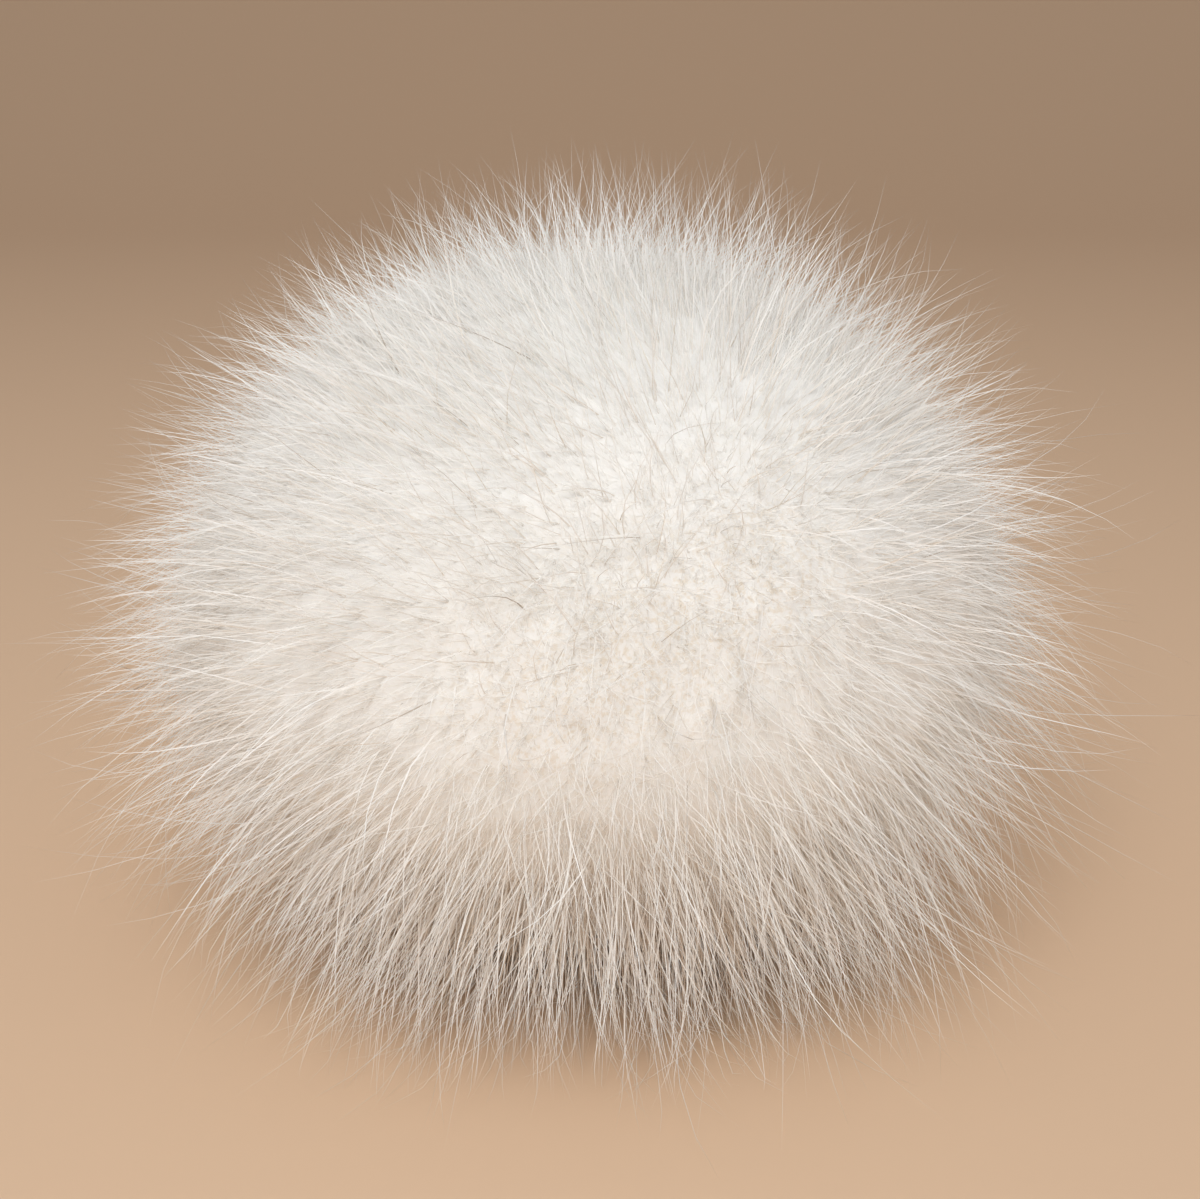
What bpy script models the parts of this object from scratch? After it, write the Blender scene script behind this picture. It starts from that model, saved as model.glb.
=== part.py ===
"""White fur pom-pom, standing on its base.

A round of long-haired pelt is drawn shut over a wad of filling, so the finished piece is one sealed
ball of fur. The dense fur is a slightly flattened ball that rests on a flat spot, and the outer hair
gathers into pointed locks that lean with their neighbours and droop a little at their tips. Towards its
underside the ball draws in, and its locks are shorter.

Metres, +Z up, front towards -Y, origin at the middle of the flat spot on the surface it stands on.
"""

import math

import bmesh
import bpy
from mathutils import Vector, noise

# Dense fur, measured in the valleys between the locks
BALL_HALF_WIDTH = 0.0530
BALL_HALF_HEIGHT = 0.0480
BALL_SETTLES = 0.0035
BASE_RADIUS = 0.0160

# The underside, by height as a share of the half height, where the ball draws in
UNDERSIDE_FROM = -0.15
UNDERSIDE_TO = -0.75
UNDERSIDE_DRAWS_IN = 0.0055

# Locks of hair, each with a bend on its way to the tip
LOCK_LENGTH = 0.0095
LOCK_LENGTH_SPREAD = 0.0035
LOCK_SHORTER_BELOW = 0.0030
LOCK_GRAIN = 0.0060
LOCK_BEND_AT = 0.55
LOCK_BEND_WIDTH = 0.50
LOCK_DROOP = 0.0030
LOCK_LEAN = 0.0050
LEAN_PATCH = 0.0240
FLOOR_BEND_HEIGHT = 0.0035

# How finely the fur is divided into locks
SKIN_POINTS = 600
BASE_POINTS = 16

GOLDEN_ANGLE = math.pi * (3.0 - math.sqrt(5.0))
UP = Vector((0.0, 0.0, 1.0))
FACES_DOWN = -0.999
PATTERN_SHIFT = 37.0

FUR_COLOUR = (0.84, 0.80, 0.74, 1.0)
FUR_ROUGHNESS = 0.9


def ball_centre():
    """The middle of the ball, which settles a little into the hair that it stands on."""
    return UP * (BALL_HALF_HEIGHT - BALL_SETTLES)


def underside(level):
    """0 on the upper ball, rising smoothly to 1 on its underside."""
    share = (level - UNDERSIDE_FROM) / (UNDERSIDE_TO - UNDERSIDE_FROM)
    share = min(max(share, 0.0), 1.0)
    return share * share * (3.0 - 2.0 * share)


def skin_points():
    """Points spread evenly over the ball in a spiral, above the flat spot."""
    spacing = BALL_HALF_WIDTH * math.sqrt(4.0 * math.pi / SKIN_POINTS)
    points = []
    for index in range(SKIN_POINTS):
        level = 1.0 - 2.0 * (index + 0.5) / SKIN_POINTS
        ring = BALL_HALF_WIDTH * math.sqrt(1.0 - level * level) - UNDERSIDE_DRAWS_IN * underside(level)
        angle = index * GOLDEN_ANGLE
        point = Vector((ring * math.cos(angle), ring * math.sin(angle), BALL_HALF_HEIGHT * level))
        point += ball_centre()
        if point.z > spacing / 2.0:
            points.append(point)
    return points


def base_points():
    """The rim of the flat spot."""
    step = 2.0 * math.pi / BASE_POINTS
    return [
        Vector((BASE_RADIUS * math.cos(k * step), BASE_RADIUS * math.sin(k * step), 0.0))
        for k in range(BASE_POINTS)
    ]


def make_ball(bm):
    """The closed ball between the locks: the hull of the skin points and the base rim."""
    for point in skin_points() + base_points():
        bm.verts.new(point)
    bmesh.ops.convex_hull(bm, input=bm.verts)
    inside = [vert for vert in bm.verts if not vert.link_faces]
    bmesh.ops.delete(bm, geom=inside, context="VERTS")
    bmesh.ops.recalc_face_normals(bm, faces=bm.faces)


def outward(point):
    """The ball's own direction outwards at a point on it."""
    away = point - ball_centre()
    away.z *= (BALL_HALF_WIDTH / BALL_HALF_HEIGHT) ** 2
    return away.normalized()


def patch_lean(root):
    """The way that hair leans at a place: slow noise, with a pattern of its own along each axis."""
    place = root / LEAN_PATCH
    return Vector([noise.noise(place + UP * (PATTERN_SHIFT * axis)) for axis in range(3)])


def lock_spine(root):
    """The bend and the tip of the lock that grows at root."""
    level = (root - ball_centre()).z / BALL_HALF_HEIGHT
    length = LOCK_LENGTH + LOCK_LENGTH_SPREAD * noise.noise(root / LOCK_GRAIN)
    length -= LOCK_SHORTER_BELOW * underside(level)
    lean = LOCK_LEAN * patch_lean(root) - UP * LOCK_DROOP
    bend = root + outward(root) * (length * LOCK_BEND_AT) + lean * LOCK_BEND_AT ** 2
    tip = root + outward(root) * length + lean
    return bend, tip


def bend_along_floor(point):
    """Turns hair that would reach the floor along it. Higher hair stays higher, so none crosses."""
    if point.z < FLOOR_BEND_HEIGHT:
        point.z = FLOOR_BEND_HEIGHT * math.exp(point.z / FLOOR_BEND_HEIGHT - 1.0)
    return point


def grow_locks(bm):
    """Draws every face of the ball, apart from the flat spot, out into a bent, pointed lock."""
    furred = [face for face in bm.faces if face.normal.z > FACES_DOWN]
    tops = bmesh.ops.extrude_discrete_faces(bm, faces=furred)["faces"]
    for top in tops:
        root = top.calc_center_median()
        bend, tip = lock_spine(root)
        for vert in top.verts:
            vert.co = bend_along_floor(bend + (vert.co - root) * LOCK_BEND_WIDTH)
        point = bmesh.ops.poke(bm, faces=[top])["verts"][0]
        point.co = bend_along_floor(tip)


def fur_material():
    material = bpy.data.materials.new("white_fur")
    material.use_nodes = True
    shader = material.node_tree.nodes["Principled BSDF"]
    shader.inputs["Base Color"].default_value = FUR_COLOUR
    shader.inputs["Roughness"].default_value = FUR_ROUGHNESS
    shader.inputs["Metallic"].default_value = 0.0
    return material


def make_fur_ball(collection):
    bm = bmesh.new()
    make_ball(bm)
    grow_locks(bm)
    mesh = bpy.data.meshes.new("fur_ball")
    bm.to_mesh(mesh)
    bm.free()
    mesh.materials.append(fur_material())
    ball = bpy.data.objects.new("fur_ball", mesh)
    collection.objects.link(ball)


def clear_scene():
    for old in list(bpy.data.objects):
        bpy.data.objects.remove(old)


def main():
    clear_scene()
    collection = bpy.data.collections.new("fur_pompom")
    bpy.context.scene.collection.children.link(collection)
    make_fur_ball(collection)


main()
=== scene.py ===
"""White fur pom-pom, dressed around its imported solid.

The dense underfur is one modelled mass. Five kinds of hair grow out of it: fine underfur, short down in
the parting, outer fur, guard hair and long strays. Each hair is a thin mesh strand. It leans with its
neighbours and away from the parting at the front, gathers into tufts, droops and bends along the floor.

Metres, +Z up, front towards -Y. A direction, u, is a unit vector from the ball's centre, and a reach is
a share of the ball's radius in that direction.
"""

import math
from dataclasses import dataclass

import bmesh
import bpy
import numpy as np
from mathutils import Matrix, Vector


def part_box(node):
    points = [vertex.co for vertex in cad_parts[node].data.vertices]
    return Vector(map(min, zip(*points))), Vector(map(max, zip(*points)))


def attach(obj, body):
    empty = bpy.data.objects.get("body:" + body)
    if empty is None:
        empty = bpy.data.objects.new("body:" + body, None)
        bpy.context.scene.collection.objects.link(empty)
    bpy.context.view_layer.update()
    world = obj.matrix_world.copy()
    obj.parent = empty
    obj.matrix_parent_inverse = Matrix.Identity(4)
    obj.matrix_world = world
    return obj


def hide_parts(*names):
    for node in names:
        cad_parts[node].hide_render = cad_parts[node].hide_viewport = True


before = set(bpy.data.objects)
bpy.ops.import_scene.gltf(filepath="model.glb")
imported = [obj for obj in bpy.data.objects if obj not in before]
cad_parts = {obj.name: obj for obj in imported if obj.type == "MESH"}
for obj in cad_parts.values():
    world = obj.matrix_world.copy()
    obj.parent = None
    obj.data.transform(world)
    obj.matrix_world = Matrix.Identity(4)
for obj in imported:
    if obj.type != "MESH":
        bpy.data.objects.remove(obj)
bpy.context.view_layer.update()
NODE = "fur_ball"
BODY = "root"
SEED = 7

# The ball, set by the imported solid
LOW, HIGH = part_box(NODE)
CENTRE_HEIGHT = 0.0450
CENTRE = np.array([(LOW.x + HIGH.x) / 2.0, (LOW.y + HIGH.y) / 2.0, CENTRE_HEIGHT])
FUR_HALF_WIDTH = 0.0580
FUR_HALF_HEIGHT = 0.0512
LUMP_HEIGHT = 0.010
LUMP_FREQUENCY = 5.0

# Where the floor turns the fur that would reach it
FLOOR_BEND_HEIGHT = 0.0040
FLOOR_GAP = 0.0002

# The parting in the fur at the front, from one end to the other
PARTING_ENDS = np.array([[-0.054, -0.989, 0.138], [0.359, -0.861, 0.360]])
PARTING_CORE = 0.24
PARTING_UNTUFTED = 0.90
PARTING_SHORTER = 0.03
PARTING_SCATTER = 0.6
PARTING_CURL = 0.4

# How hair leans: with its neighbours over patches and tufts, away from the parting, and down elsewhere
PATCH_LEAN = 0.20
PATCH_FREQUENCY = 3.2
TUFT_LEAN = 0.10
TUFT_FREQUENCY = 13.0
PARTING_LEAN = 2.60
PARTING_WIDTH = 0.98
PARTING_LEAN_LESS_BELOW = 0.50
DOWNWARD_LEAN = 0.45

# The underside, where the dense fur draws in, the fur is painted warmer and darker as painted shade,
# and the tufts are stronger
UNDERSIDE_FROM = -0.05
UNDERSIDE_TO = 0.80
DRAWN_IN_BELOW = 0.18
TUFTING_ABOVE = 0.18
PAINTED_SHADE_POWER = 1.5

# The sum of waves that makes smooth noise
WAVES_SUMMED = 24
WAVE_SPREAD = (0.6, 1.4)

# The strands, their shades and the map that holds them
RIBBON_TURN = 0.3
NORMAL_SHARE = 0.25
SHADES = 100
DARK_SHADES = 3
# The first shades are warm and dark: painted shade for hair on the underside
WARM_PAINTED_SHADES = 20
BAKE_MARGIN = 0.02
COLUMN_HALF_WIDTH = 0.4


@dataclass(frozen=True)
class Hair:
    """One kind of hair, with random draws of its own. Its bends are shares of its length."""
    name: str
    seed: int
    count: int
    steps: int
    start: float
    reach: float
    reach_spread: float
    scatter: float
    curl: float
    droop: float
    tufts: int
    tuft_pull: float
    thinnest: float
    thickest: float
    taper: float
    dark_share: float = 0.0
    drawn_in: float = 1.0
    # Share of the underside's hair that takes a warm dark shade, which is painted shade
    painted_shade_below: float = 0.0
    longer_below: float = 0.0
    parting_only: bool = False


UNDERFUR = Hair(
    "underfur", seed=1, count=86000, steps=2, start=0.87, reach=0.908, reach_spread=0.020,
    scatter=0.20, curl=0.26, droop=0.05, tufts=9000, tuft_pull=0.40,
    thinnest=0.00006, thickest=0.00011, taper=1.5, painted_shade_below=0.75,
)
PARTING_DOWN = Hair(
    "parting_down", seed=5, count=260000, steps=2, start=0.88, reach=0.922, reach_spread=0.015,
    scatter=0.40, curl=0.40, droop=0.0, tufts=9000, tuft_pull=0.0,
    thinnest=0.00006, thickest=0.00011, taper=2.0, parting_only=True,
)
OUTER_FUR = Hair(
    "outer_fur", seed=2, count=32000, steps=4, start=0.84, reach=0.890, reach_spread=0.046,
    scatter=0.13, curl=0.17, droop=0.10, tufts=3200, tuft_pull=0.68,
    thinnest=0.00007, thickest=0.00014, taper=1.1, drawn_in=0.90, painted_shade_below=0.65,
)
GUARD_HAIR = Hair(
    "guard_hair", seed=3, count=15000, steps=6, start=0.84, reach=0.910, reach_spread=0.072,
    scatter=0.20, curl=0.27, droop=0.24, tufts=2300, tuft_pull=0.76,
    thinnest=0.00010, thickest=0.00022, taper=1.3, dark_share=0.010, drawn_in=0.10,
    painted_shade_below=0.25, longer_below=0.08,
)
STRAY_HAIR = Hair(
    "stray_hair", seed=4, count=3600, steps=6, start=0.84, reach=1.08, reach_spread=0.070,
    scatter=0.32, curl=0.26, droop=0.08, tufts=900, tuft_pull=0.10,
    thinnest=0.00009, thickest=0.00015, taper=1.6, drawn_in=0.0,
)

# How far hair reaches, and how it gathers towards its tip
REACH_SHAPE = 2.0
LONGEST_REACH = 1.20
SHORTER_ON_TOP = 0.045
GATHER_POWER = 1.5
NEAREST_SLICE = 4000


def unit(vectors):
    return vectors / np.linalg.norm(vectors, axis=-1, keepdims=True)


def random_directions(rng, count):
    return unit(rng.normal(size=(count, 3)))


def across(directions, vectors):
    """The part of each vector at right angles to its direction."""
    return vectors - directions * (vectors * directions).sum(axis=1, keepdims=True)


def underside(u):
    """0 on the upper ball, rising smoothly to 1 on its underside."""
    share = np.clip((-u[:, 2] - UNDERSIDE_FROM) / (UNDERSIDE_TO - UNDERSIDE_FROM), 0.0, 1.0)
    return share * share * (3.0 - 2.0 * share)


def painted_shade_share(u):
    """How much painted shade the underside gets: 0 on the upper ball, rising later than underside does
    to 1.
    """
    return underside(u) ** PAINTED_SHADE_POWER


class Waves:
    """Smooth noise over the ball, mostly from -1 to 1: a sum of plane waves in random directions."""

    def __init__(self, rng, frequency):
        ways = random_directions(rng, WAVES_SUMMED) * frequency
        self.ways = ways * rng.uniform(*WAVE_SPREAD, (WAVES_SUMMED, 1))
        self.phases = rng.uniform(0.0, 2.0 * math.pi, WAVES_SUMMED)
        self.scale = math.sqrt(2.0 / WAVES_SUMMED)

    def at(self, u):
        return np.sin(u @ self.ways.T + self.phases).sum(axis=1) * self.scale


class Coat:
    """The coat's slow changes over the ball: its lumps, and the way that its hair leans."""

    def __init__(self):
        rng = np.random.default_rng(SEED)
        self.patches = [Waves(rng, PATCH_FREQUENCY) for axis in range(3)]
        self.tufts = [Waves(rng, TUFT_FREQUENCY) for axis in range(3)]
        self.lumps = Waves(rng, LUMP_FREQUENCY)

    def radius(self, u):
        """Distance from the centre to the fur's surface."""
        flat = (u[:, 0] ** 2 + u[:, 1] ** 2) / FUR_HALF_WIDTH ** 2
        upward = u[:, 2] ** 2 / FUR_HALF_HEIGHT ** 2
        return (1.0 + LUMP_HEIGHT * self.lumps.at(u)) / np.sqrt(flat + upward)

    def from_parting(self, u):
        """From the nearest place on the parting to each direction."""
        start, end = PARTING_ENDS
        line = end - start
        share = np.clip((u - start) @ line / (line @ line), 0.0, 1.0)
        return u - (start + share[:, None] * line)

    def near_parting(self, u):
        """1 on the parting, falling to 0 away from it."""
        far = np.linalg.norm(self.from_parting(u), axis=1)
        return np.exp(-(far / PARTING_CORE) ** 2)

    def lean(self, u):
        """Sideways lean at the root, as a share of the outward direction."""
        patch = np.stack([waves.at(u) for waves in self.patches], axis=1)
        tuft = np.stack([waves.at(u) for waves in self.tufts], axis=1)
        away = self.from_parting(u)
        far = np.linalg.norm(away, axis=1, keepdims=True)
        in_front = np.exp(-(far / PARTING_WIDTH) ** 2)
        parting = away * in_front * (1.0 - PARTING_LEAN_LESS_BELOW * underside(u)[:, None])
        sinking = (1.0 - in_front) * np.array([0.0, 0.0, -DOWNWARD_LEAN])
        return across(u, patch * PATCH_LEAN + tuft * TUFT_LEAN + parting * PARTING_LEAN + sinking)


COAT = Coat()


def bend_along_floor(points):
    """Turns hair that would reach the floor along it. Higher hair stays higher."""
    z = points[..., 2]
    low = z < FLOOR_BEND_HEIGHT
    room = FLOOR_BEND_HEIGHT - FLOOR_GAP
    z[low] = FLOOR_GAP + room * np.exp((z[low] - FLOOR_BEND_HEIGHT) / room)


def curves(rng, hair, u):
    """Points along each hair, count by steps + 1 by 3, and how far along it they lie."""
    count = len(u)
    radius = COAT.radius(u)
    near = COAT.near_parting(u)
    scatter = hair.scatter * (1.0 + PARTING_SCATTER * near)[:, None]
    curl = hair.curl * (1.0 + PARTING_CURL * near)[:, None]
    drawn_in = DRAWN_IN_BELOW * underside(u)
    start = hair.start - drawn_in
    reach = hair.reach + rng.gamma(REACH_SHAPE, hair.reach_spread, count) - drawn_in * hair.drawn_in
    reach += hair.longer_below * underside(u)
    longest = LONGEST_REACH - SHORTER_ON_TOP * np.maximum(u[:, 2], 0.0)
    lean = COAT.lean(u)
    slant = 1.0 / np.sqrt(1.0 + (lean ** 2).sum(axis=1))
    length = radius * (np.minimum(reach, longest) - PARTING_SHORTER * near - start) / slant
    first = unit(u + lean + across(u, rng.normal(size=u.shape)) * scatter)
    pull = np.zeros_like(u)
    pull[:, 2] = -hair.droop
    arc = across(first, rng.normal(size=u.shape) * curl + pull)
    twist = across(first, rng.normal(size=u.shape) * curl)
    t = np.linspace(0.0, 1.0, hair.steps + 1)[None, :, None]
    shape = first[:, None] * t + arc[:, None] * t ** 2 + twist[:, None] * (t ** 3 - t ** 2)
    root = u * (radius * start)[:, None]
    return root[:, None] + length[:, None, None] * shape + CENTRE, t


def nearest(directions, targets):
    """Index of the nearest target for each direction, found in slices to save memory."""
    found = np.empty(len(directions), int)
    for at in range(0, len(directions), NEAREST_SLICE):
        part = slice(at, at + NEAREST_SLICE)
        found[part] = (directions[part] @ targets.T).argmax(axis=1)
    return found


def gather(rng, hair, path, t, u):
    """Draws each hair towards the middle of its tuft, more towards the tip and lower on the ball."""
    whose = nearest(u, random_directions(rng, hair.tufts))
    order = np.argsort(whose, kind="stable")
    firsts = np.searchsorted(whose[order], np.arange(hair.tufts))
    counts = np.bincount(whose, minlength=hair.tufts)
    sums = np.add.reduceat(path[order], np.minimum(firsts, len(path) - 1), axis=0)
    middle = sums / np.maximum(counts, 1)[:, None, None]
    pull = hair.tuft_pull * (TUFTING_ABOVE + (1.0 - TUFTING_ABOVE) * underside(u))
    pull *= 1.0 - PARTING_UNTUFTED * COAT.near_parting(u)
    return path + (middle[whose] - path) * (pull[:, None, None] * t ** GATHER_POWER)


@dataclass
class Strands:
    """Like strands: their points, the faces of one, and each point's place along and across it."""
    verts: np.ndarray
    quads: list
    tris: list
    along: np.ndarray
    aside: np.ndarray


def half_widths(width, taper, t):
    return 0.5 * width[:, None, None] * (1.0 - t ** taper)[None, :, None]


def ribbons(rng, path, width, taper, u):
    """Flat strands that narrow to a point and mostly face outwards."""
    count, rows, _ = path.shape
    tangent = unit(np.gradient(path, axis=1))
    facing = (u + rng.normal(size=u.shape) * RIBBON_TURN)[:, None, :]
    side = unit(np.cross(tangent, np.broadcast_to(facing, tangent.shape)))
    t = np.linspace(0.0, 1.0, rows)
    half = half_widths(width, taper, t)
    per = 2 * (rows - 1) + 1
    verts = np.empty((count, per, 3))
    along = np.ones(per)
    aside = np.zeros(per)
    for k, sign in enumerate((-1.0, 1.0)):
        verts[:, k:per - 1:2] = (path + side * half * sign)[:, :-1]
        along[k:per - 1:2] = t[:-1]
        aside[k:per - 1:2] = sign
    verts[:, per - 1] = path[:, -1]
    quads = [(a, a + 1, a + 3, a + 2) for a in range(0, per - 3, 2)]
    return Strands(verts, quads, [(per - 3, per - 2, per - 1)], along, aside)


def tubes(rng, path, width, taper):
    """Three-sided strands that narrow to a point."""
    count, rows, _ = path.shape
    tangent = unit(np.gradient(path, axis=1))
    facing = rng.normal(size=(count, 1, 3))
    side = unit(np.cross(tangent, np.broadcast_to(facing, tangent.shape)))
    other = np.cross(tangent, side)
    t = np.linspace(0.0, 1.0, rows)
    half = half_widths(width, taper, t)
    per = 3 * (rows - 1) + 1
    verts = np.empty((count, per, 3))
    along = np.ones(per)
    aside = np.zeros(per)
    for k in range(3):
        turn = 2.0 * math.pi * k / 3.0
        corner = path + (side * math.cos(turn) + other * math.sin(turn)) * half
        verts[:, k:per - 1:3] = corner[:, :-1]
        along[k:per - 1:3] = t[:-1]
        aside[k:per - 1:3] = k - 1.0
    verts[:, per - 1] = path[:, -1]
    quads = []
    for row in range(0, per - 4, 3):
        quads += [(row + k, row + (k + 1) % 3, row + (k + 1) % 3 + 3, row + k + 3) for k in range(3)]
    tris = [(per - 4 + k, per - 4 + (k + 1) % 3, per - 1) for k in range(3)]
    return Strands(verts, quads, tris, along, aside)


def strand_faces(mesh, strands):
    """Gives the mesh every strand's points and faces, and returns the vertex at each face corner."""
    count, per, _ = strands.verts.shape
    mesh.vertices.add(count * per)
    mesh.vertices.foreach_set("co", strands.verts.astype(np.float32).ravel())
    base = (np.arange(count) * per)[:, None, None]
    quads = (np.array(strands.quads)[None] + base).reshape(-1)
    tris = (np.array(strands.tris)[None] + base).reshape(-1)
    corners = np.concatenate([quads, tris]).astype(np.int32)
    sizes = np.concatenate([np.full(len(quads) // 4, 4), np.full(len(tris) // 3, 3)])
    mesh.loops.add(len(corners))
    mesh.loops.foreach_set("vertex_index", corners)
    mesh.polygons.add(len(sizes))
    mesh.polygons.foreach_set("loop_start", (np.cumsum(sizes) - sizes).astype(np.int32))
    mesh.update(calc_edges=True)
    mesh.polygons.foreach_set("use_smooth", np.ones(len(sizes), bool))
    return corners


def soften_normals(mesh, u, per):
    """Turns each strand's normals part of the way to the ball's own."""
    own = np.empty(len(mesh.vertices) * 3, np.float32)
    mesh.vertex_normals.foreach_get("vector", own)
    own = own.reshape(-1, 3)
    ball = np.repeat(u, per, axis=0)
    softened = unit(own * (1.0 - NORMAL_SHARE) + ball * NORMAL_SHARE)
    mesh.normals_split_custom_set_from_vertices(softened)


def mark_shades(mesh, strands, shade):
    """Where each point lies along its hair, and its hair's shade, from 0 to 1."""
    colour = np.ones((len(shade), len(strands.along), 4), np.float32)
    colour[:, :, 0] = strands.along[None]
    colour[:, :, 1] = shade[:, None] / (SHADES - 1)
    layer = mesh.attributes.new("hair", "FLOAT_COLOR", "POINT")
    layer.data.foreach_set("color", colour.ravel())


def map_shades(mesh, strands, shade, corners):
    """A map with a column for each shade, root to tip, that all hairs of the shade share."""
    column = (shade[:, None] + 0.5 + COLUMN_HALF_WIDTH * strands.aside[None]) / SHADES
    height = BAKE_MARGIN + (1.0 - 2.0 * BAKE_MARGIN) * strands.along
    places = np.stack([column, np.broadcast_to(height, column.shape)], axis=2).reshape(-1, 2)
    layer = mesh.uv_layers.new(name="OFBake")
    layer.data.foreach_set("uv", places[corners].astype(np.float32).ravel())


def strand_mesh(name, strands, shade, u):
    mesh = bpy.data.meshes.new(name)
    corners = strand_faces(mesh, strands)
    soften_normals(mesh, u, len(strands.along))
    mark_shades(mesh, strands, shade)
    map_shades(mesh, strands, shade, corners)
    return mesh


def add_piece(mesh, material):
    piece = bpy.data.objects.new(mesh.name, mesh)
    bpy.context.scene.collection.objects.link(piece)
    mesh.materials.append(material)
    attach(piece, BODY)
    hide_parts(NODE)
    return piece


def pick_shades(rng, hair, u):
    """A pale shade for each hair, a warm dark one as painted shade for many below, and a dark one for a
    few above.
    """
    shade = rng.integers(WARM_PAINTED_SHADES, SHADES - DARK_SHADES, len(u))
    shaded = rng.integers(0, WARM_PAINTED_SHADES, len(u))
    # Painted shade: many hairs on the underside take a warm dark shade
    shade = np.where(rng.uniform(size=len(u)) < hair.painted_shade_below * painted_shade_share(u), shaded, shade)
    dark = rng.integers(SHADES - DARK_SHADES, SHADES, len(u))
    return np.where((rng.uniform(size=len(u)) < hair.dark_share) & (u[:, 2] > 0.0), dark, shade)


def halves(u):
    return {"front": u[:, 1] <= 0.0, "back": u[:, 1] > 0.0}


def quarters(u):
    sides = {"left": u[:, 0] <= 0.0, "right": u[:, 0] > 0.0}
    return {
        f"{end}_{side}": own & half
        for end, half in halves(u).items()
        for side, own in sides.items()
    }


def whole(u):
    return {"whole": np.ones(len(u), bool)}


def grow(hair, material, split, round_strands=False):
    """Grows one kind of hair over the ball, in the pieces that split gives."""
    rng = np.random.default_rng(SEED + hair.seed)
    u = random_directions(rng, hair.count)
    if hair.parting_only:
        u = u[rng.uniform(size=len(u)) < COAT.near_parting(u)]
    path, t = curves(rng, hair, u)
    path = gather(rng, hair, path, t, u)
    bend_along_floor(path)
    width = rng.uniform(hair.thinnest, hair.thickest, len(u))
    shade = pick_shades(rng, hair, u)
    for place, own in split(u).items():
        if round_strands:
            strands = tubes(rng, path[own], width[own], hair.taper)
        else:
            strands = ribbons(rng, path[own], width[own], hair.taper, u[own])
        add_piece(strand_mesh(f"{hair.name}_{place}", strands, shade[own], u[own]), material)


# Tints from the first shade to the last: warm dark ones that are painted shade on the underside, pale
# ones and a few dark ones
SHADE_TINTS = [
    (0.00, (0.56, 0.46, 0.37)),
    (0.19, (0.84, 0.75, 0.66)),
    (0.21, (0.95, 0.935, 0.90)),
    (0.50, (1.00, 1.00, 0.99)),
    (0.955, (1.00, 1.00, 1.00)),
    (0.975, (0.62, 0.58, 0.54)),
]

# Colours from root to tip. The darker roots are partly cream underfur and partly painted shade deep in
# the fur.
SOFT_FUR_COLOURS = [(0.0, (0.88, 0.83, 0.76)), (0.55, (0.98, 0.98, 0.97))]
GUARD_HAIR_COLOURS = [(0.1, (0.80, 0.73, 0.65)), (0.6, (0.99, 0.99, 0.98))]


def colour_ramp(nodes, stops):
    ramp = nodes.new("ShaderNodeValToRGB")
    elements = ramp.color_ramp.elements
    while len(elements) < len(stops):
        elements.new(0.5)
    for element, (position, colour) in zip(elements, stops):
        element.position = position
        element.color = (*colour, 1.0)
    return ramp


def new_material(name, roughness, shine):
    """A material, and its nodes, links and shader."""
    material = bpy.data.materials.new(name)
    material.use_nodes = True
    nodes = material.node_tree.nodes
    shader = nodes["Principled BSDF"]
    shader.inputs["Roughness"].default_value = roughness
    shader.inputs["Specular IOR Level"].default_value = shine
    return material, nodes, material.node_tree.links, shader


def mesh_colour(nodes, links, name):
    """The Red and Green of one of the mesh's colour layers."""
    data = nodes.new("ShaderNodeAttribute")
    data.attribute_name = name
    parts = nodes.new("ShaderNodeSeparateColor")
    links.new(data.outputs["Color"], parts.inputs["Color"])
    return parts.outputs["Red"], parts.outputs["Green"]


def hair_material(name, along, roughness, shine):
    """Hair that is coloured from root to tip, with a tint by its shade."""
    material, nodes, links, shader = new_material(name, roughness, shine)
    place_along, shade = mesh_colour(nodes, links, "hair")
    length_ramp = colour_ramp(nodes, along)
    links.new(place_along, length_ramp.inputs["Fac"])
    shade_ramp = colour_ramp(nodes, SHADE_TINTS)
    links.new(shade, shade_ramp.inputs["Fac"])
    tinted = nodes.new("ShaderNodeMix")
    tinted.data_type = "RGBA"
    tinted.blend_type = "MULTIPLY"
    tinted.inputs["Factor"].default_value = 1.0
    links.new(length_ramp.outputs["Color"], tinted.inputs["A"])
    links.new(shade_ramp.outputs["Color"], tinted.inputs["B"])
    links.new(tinted.outputs["Result"], shader.inputs["Base Color"])
    return material


# The mass of dense underfur that the hair stands in
MASS_SHARE = 0.905
MASS_DETAIL = 7
MASS_RELIEF = 0.004
MASS_FREQUENCIES = (22.0, 60.0)
CREAM = (0.90, 0.885, 0.85, 1.0)
PALE_CREAM = (0.95, 0.95, 0.94, 1.0)
TAN = (0.84, 0.78, 0.69, 1.0)
# A dark tan for the underside: a warm tint with painted shade
TAN_AND_PAINTED_SHADE = (0.30, 0.23, 0.17, 1.0)
MASS_ROUGHNESS = 0.95
MASS_SHINE = 0.1

# The nap of fine specks, which turn tan as its noise falls
NAP_SCALE = 1400.0
NAP_DETAIL = 4.0
NAP_ROUGHNESS = 0.65
SPECKS_FROM = 0.52
SPECKS_FULL_AT = 0.38


def mixed(nodes, links, share, low, high):
    """A mix node from the colour or socket low to high, by the socket share."""
    node = nodes.new("ShaderNodeMix")
    node.data_type = "RGBA"
    links.new(share, node.inputs["Factor"])
    for socket, value in ((node.inputs["A"], low), (node.inputs["B"], high)):
        if isinstance(value, tuple):
            socket.default_value = value
        else:
            links.new(value, socket)
    return node.outputs["Result"]


def nap_texture(nodes, links):
    """Fine noise over the mass."""
    place = nodes.new("ShaderNodeTexCoord")
    nap = nodes.new("ShaderNodeTexNoise")
    nap.inputs["Scale"].default_value = NAP_SCALE
    nap.inputs["Detail"].default_value = NAP_DETAIL
    nap.inputs["Roughness"].default_value = NAP_ROUGHNESS
    links.new(place.outputs["Object"], nap.inputs["Vector"])
    return nap.outputs["Fac"]


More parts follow.
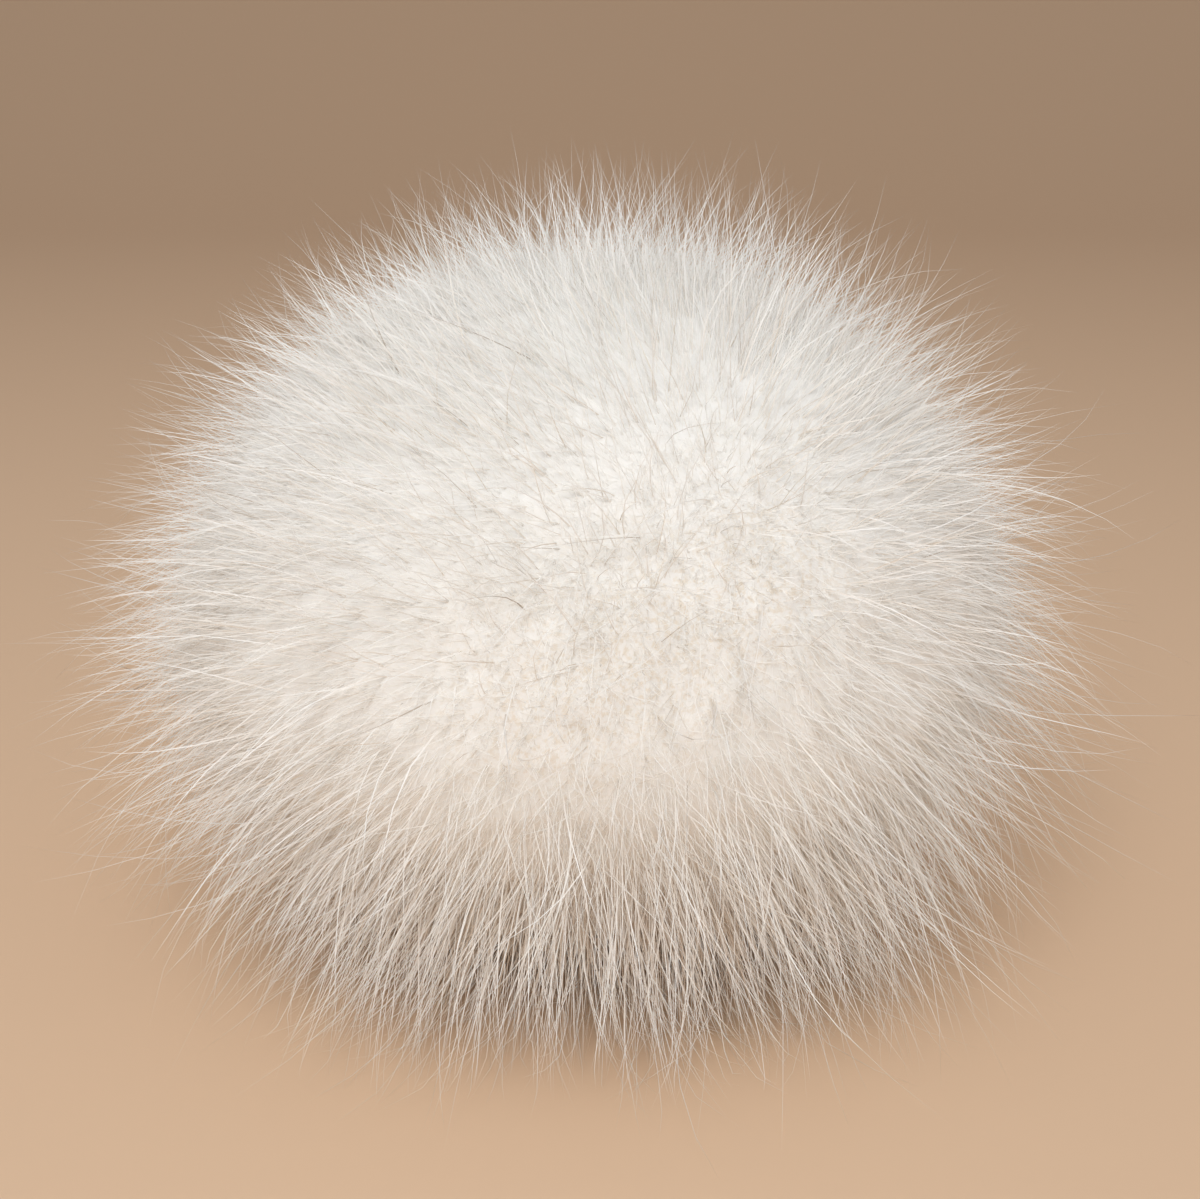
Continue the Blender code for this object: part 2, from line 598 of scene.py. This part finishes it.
def parting_specks(nodes, links, nap, near_parting):
    """How far each speck turns tan, which it does only in the parting."""
    specks = nodes.new("ShaderNodeMapRange")
    specks.inputs["From Min"].default_value = SPECKS_FROM
    specks.inputs["From Max"].default_value = SPECKS_FULL_AT
    links.new(nap, specks.inputs["Value"])
    in_parting = nodes.new("ShaderNodeMath")
    in_parting.operation = "MULTIPLY"
    links.new(specks.outputs["Result"], in_parting.inputs[0])
    links.new(near_parting, in_parting.inputs[1])
    return in_parting.outputs["Value"]


def mass_material():
    """Dense underfur: fine cream specks, tan ones in the parting, and a dark tan on the underside that
    is a warm tint with painted shade.
    """
    material, nodes, links, shader = new_material("dense_underfur", MASS_ROUGHNESS, MASS_SHINE)
    nap = nap_texture(nodes, links)
    near_parting, below = mesh_colour(nodes, links, "place")
    specks = parting_specks(nodes, links, nap, near_parting)
    cream = mixed(nodes, links, nap, CREAM, PALE_CREAM)
    speckled = mixed(nodes, links, specks, cream, TAN)
    # Painted shade: the mass turns dark tan towards the underside
    colour = mixed(nodes, links, below, speckled, TAN_AND_PAINTED_SHADE)
    links.new(colour, shader.inputs["Base Color"])
    return material


def unit_sphere(name):
    """A mesh of evenly spread points around the origin, and their directions."""
    bm = bmesh.new()
    bmesh.ops.create_icosphere(bm, subdivisions=MASS_DETAIL, radius=1.0)
    mesh = bpy.data.meshes.new(name)
    bm.to_mesh(mesh)
    bm.free()
    points = np.empty(len(mesh.vertices) * 3, np.float32)
    mesh.vertices.foreach_get("co", points)
    return mesh, unit(points.reshape(-1, 3).astype(float))


def mark_parting_and_shade(mesh, u):
    """How near each point is to the parting, and how much painted shade it gets below."""
    place = np.ones((len(u), 4), np.float32)
    place[:, 0] = COAT.near_parting(u)
    place[:, 1] = painted_shade_share(u)
    layer = mesh.attributes.new("place", "FLOAT_COLOR", "POINT")
    layer.data.foreach_set("color", place.ravel())


def make_mass():
    rng = np.random.default_rng(SEED)
    relief = [Waves(rng, frequency) for frequency in MASS_FREQUENCIES]
    mesh, u = unit_sphere("fur_mass")
    share = MASS_SHARE - DRAWN_IN_BELOW * underside(u)
    share += MASS_RELIEF * sum(waves.at(u) for waves in relief) / len(relief)
    points = u * (COAT.radius(u) * share)[:, None] + CENTRE
    bend_along_floor(points)
    mesh.vertices.foreach_set("co", points.astype(np.float32).ravel())
    mesh.polygons.foreach_set("use_smooth", np.ones(len(mesh.polygons), bool))
    mark_parting_and_shade(mesh, u)
    mesh.update()
    piece = add_piece(mesh, mass_material())


# The studio: a plain floor that curves up behind the ball
FLOOR_HALF = 4.0
FLOOR_FRONT = -3.0
BACKDROP_FROM = 1.0
BACKDROP_CURVE = 1.4
BACKDROP_TOP = 3.5
CURVE_STEPS = 24
FLOOR_COLOUR = (0.84, 0.60, 0.41, 1.0)
FLOOR_ROUGHNESS = 0.8


def floor_profile():
    """Depth and height of the floor and the backdrop, from the front."""
    profile = [(FLOOR_FRONT, 0.0)]
    for k in range(CURVE_STEPS + 1):
        angle = math.pi / 2.0 * k / CURVE_STEPS
        profile.append((
            BACKDROP_FROM + BACKDROP_CURVE * math.sin(angle),
            BACKDROP_CURVE * (1.0 - math.cos(angle)),
        ))
    profile.append((BACKDROP_FROM + BACKDROP_CURVE, BACKDROP_TOP))
    return profile


def floor_material():
    material = bpy.data.materials.new("studio_floor")
    material.use_nodes = True
    shader = material.node_tree.nodes["Principled BSDF"]
    shader.inputs["Base Color"].default_value = FLOOR_COLOUR
    shader.inputs["Roughness"].default_value = FLOOR_ROUGHNESS
    return material


def make_floor():
    profile = floor_profile()
    mesh = bpy.data.meshes.new("studio_floor")
    verts = [(x, y, z) for y, z in profile for x in (-FLOOR_HALF, FLOOR_HALF)]
    faces = [(2 * k, 2 * k + 1, 2 * k + 3, 2 * k + 2) for k in range(len(profile) - 1)]
    mesh.from_pydata(verts, [], faces)
    mesh.polygons.foreach_set("use_smooth", [True] * len(mesh.polygons))
    mesh.materials.append(floor_material())
    floor = bpy.data.objects.new("studio_floor", mesh)
    bpy.context.scene.collection.objects.link(floor)


# The light: a soft sky, and one large lamp above and in front
SKY_COLOUR = (1.0, 1.0, 1.0, 1.0)
SKY_STRENGTH = 0.34
KEY_WIDTH = 0.80
KEY_HEIGHT = 0.60
KEY_POWER = 8.0
KEY_PLACE = Vector((-0.10, -0.80, 0.80))
KEY_AIM = Vector((0.0, 0.0, 0.05))


def make_light():
    world = bpy.data.worlds.new("studio")
    bpy.context.scene.world = world
    world.use_nodes = True
    sky = world.node_tree.nodes["Background"]
    sky.inputs["Color"].default_value = SKY_COLOUR
    sky.inputs["Strength"].default_value = SKY_STRENGTH
    lamp = bpy.data.lights.new("soft_key", "AREA")
    lamp.shape = "RECTANGLE"
    lamp.size = KEY_WIDTH
    lamp.size_y = KEY_HEIGHT
    lamp.energy = KEY_POWER
    light = bpy.data.objects.new("soft_key", lamp)
    light.location = KEY_PLACE
    light.rotation_euler = (KEY_AIM - KEY_PLACE).to_track_quat("-Z", "Y").to_euler()
    bpy.context.scene.collection.objects.link(light)


# The camera, at the photograph's viewing angle
VIEW_ANGLE = math.radians(40.0)
VIEW_PITCH = math.radians(18.0)
VIEW_DISTANCE = 0.2200
VIEW_TARGET = Vector((0.0015, 0.0, 0.0475))
NEAREST_IN_VIEW = 0.01


def make_camera():
    data = bpy.data.cameras.new("camera")
    data.sensor_fit = "HORIZONTAL"
    data.angle = VIEW_ANGLE
    data.clip_start = NEAREST_IN_VIEW
    camera = bpy.data.objects.new("camera", data)
    back = Vector((0.0, -math.cos(VIEW_PITCH), math.sin(VIEW_PITCH)))
    camera.location = VIEW_TARGET + back * VIEW_DISTANCE
    camera.rotation_euler = (-back).to_track_quat("-Z", "Y").to_euler()
    bpy.context.scene.collection.objects.link(camera)
    bpy.context.scene.camera = camera


def make_fur():
    soft = hair_material("soft_fur", SOFT_FUR_COLOURS, roughness=0.75, shine=0.2)
    guard = hair_material("guard_fur", GUARD_HAIR_COLOURS, roughness=0.45, shine=0.5)
    make_mass()
    grow(UNDERFUR, soft, quarters)
    grow(PARTING_DOWN, soft, whole)
    grow(OUTER_FUR, soft, halves)
    grow(GUARD_HAIR, guard, halves)
    grow(STRAY_HAIR, guard, whole, round_strands=True)


make_camera()
make_light()
make_floor()
make_fur()
bpy.context.scene.view_settings.view_transform = "Standard"
